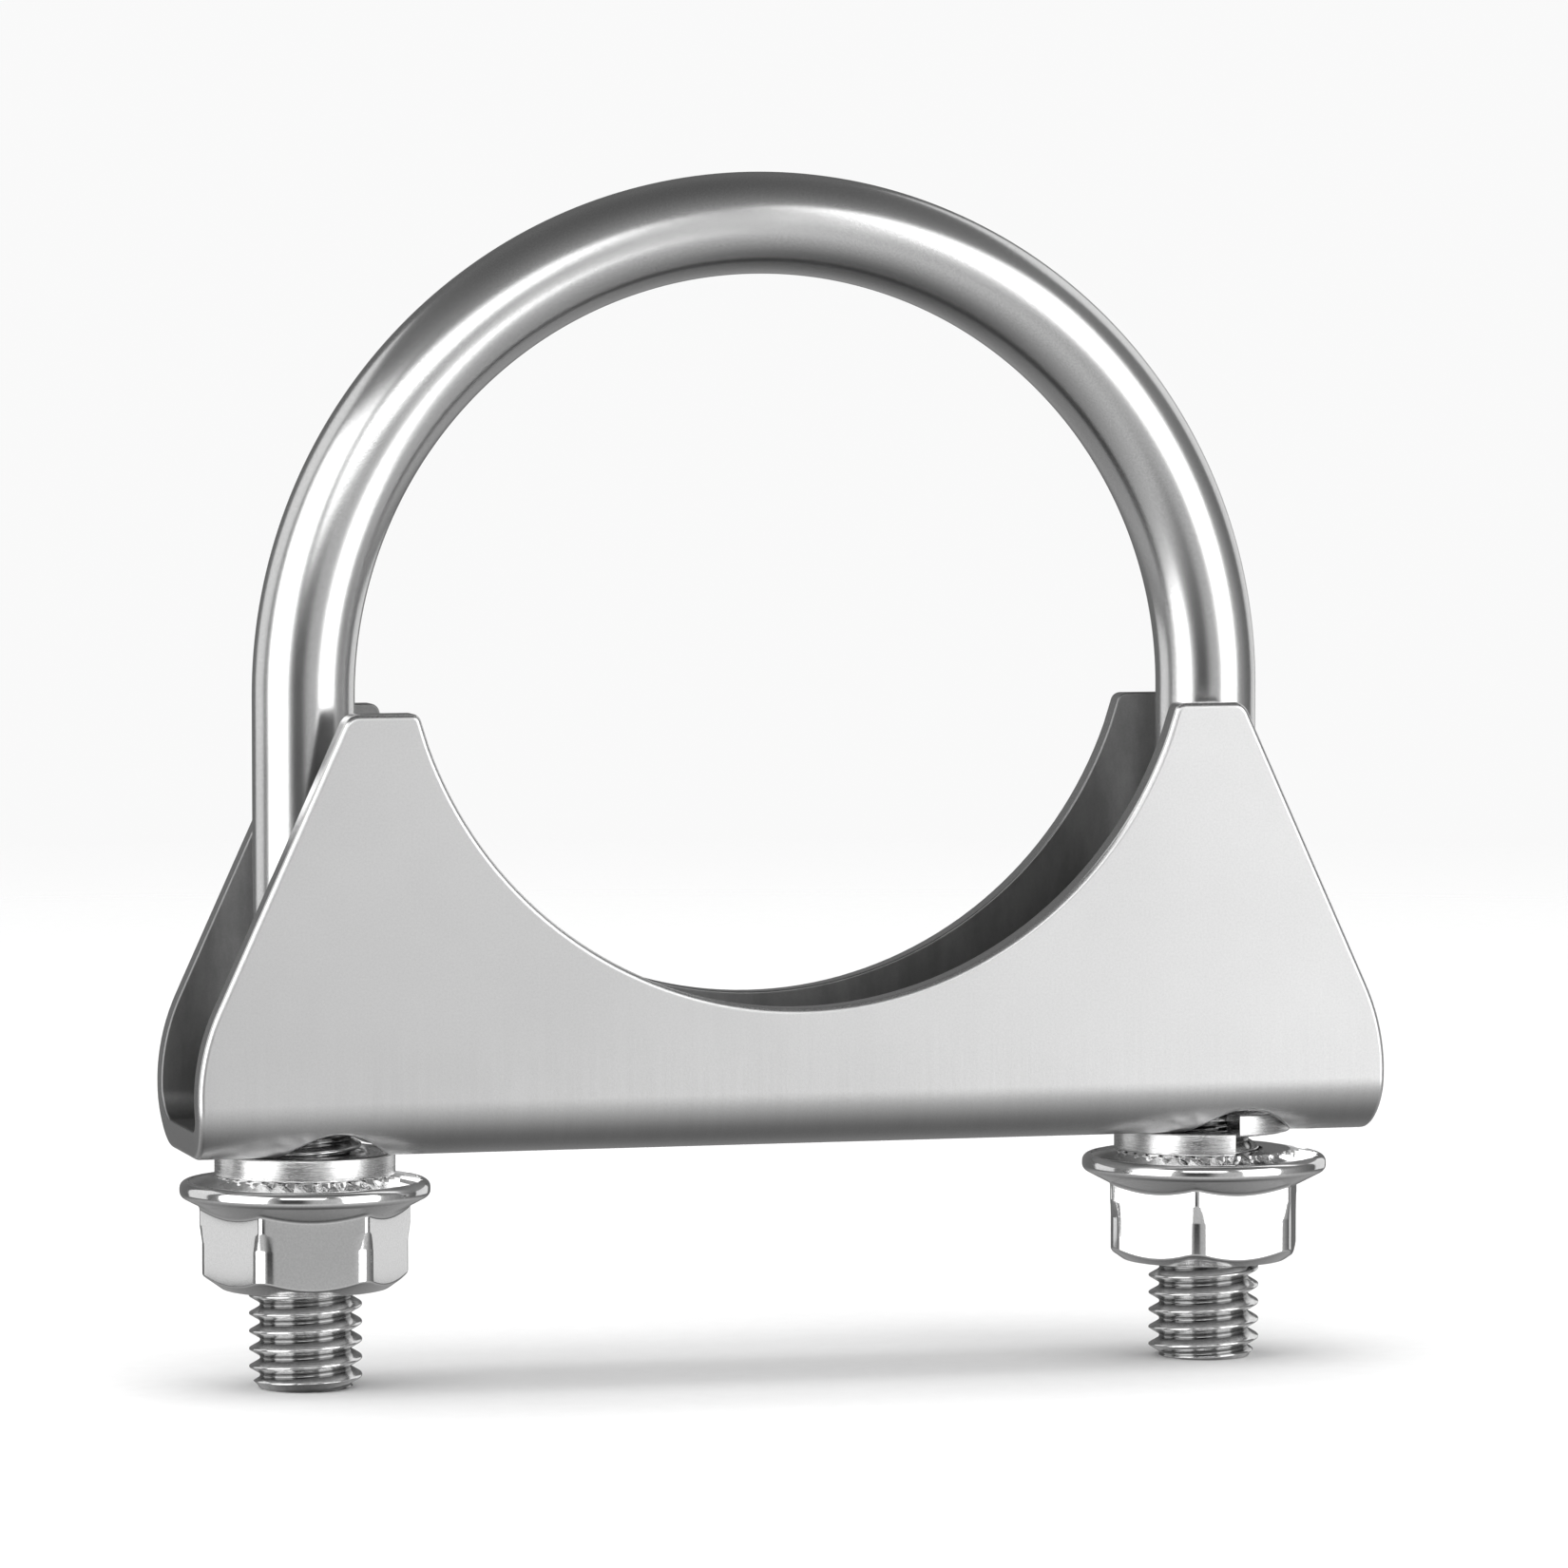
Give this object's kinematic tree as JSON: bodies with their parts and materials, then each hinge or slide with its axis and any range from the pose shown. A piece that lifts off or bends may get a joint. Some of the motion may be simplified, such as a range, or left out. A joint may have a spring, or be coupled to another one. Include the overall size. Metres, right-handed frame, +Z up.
{
  "type": "u-bolt clamp",
  "caption": "Threaded U-shaped bolt with a folded sheet saddle, lock washers and flange nuts, for clamping round pipe.",
  "frame": {"origin": "centre of the saddle's round pipe seat, midway between its two cheeks", "axes": "+X from the left leg to the right leg, +Y along the pipe towards the back, +Z up towards the bend of the bolt"},
  "size_m": [0.0864, 0.0176, 0.0853],
  "materials": {
    "bolt_steel": "satin",
    "saddle_steel": "satin",
    "washer_steel": "bright",
    "nut_steel": "polished"
  },
  "bodies": {
    "bolt": {"u_bolt": "bolt_steel"},
    "saddle": {"saddle": "saddle_steel", "left_lock_washer": "washer_steel", "right_lock_washer": "washer_steel"},
    "left_nut": {"left_flange_nut": "nut_steel"},
    "right_nut": {"right_flange_nut": "nut_steel"}
  },
  "joints": [
    {"name": "saddle_travel", "type": "slide", "parent": "bolt", "child": "saddle", "axis": [0, 0, 1], "range_m": [-0.00625, 0.00625]},
    {"name": "left_nut_turn", "type": "hinge", "parent": "saddle", "child": "left_nut", "pos_m": [-0.0341, 0, -0.04404], "axis": [0, 0, 1], "range_deg": [-1801, 1801]},
    {"name": "right_nut_turn", "type": "hinge", "parent": "saddle", "child": "right_nut", "pos_m": [0.0321, 0, -0.04404], "axis": [0, 0, 1], "range_deg": [-1801, 1801]}
  ],
  "couplings": [
    {"joint": "left_nut_turn", "follows": "saddle_travel", "rad_per_m": 5026.5},
    {"joint": "right_nut_turn", "follows": "saddle_travel", "rad_per_m": 5026.5}
  ]
}
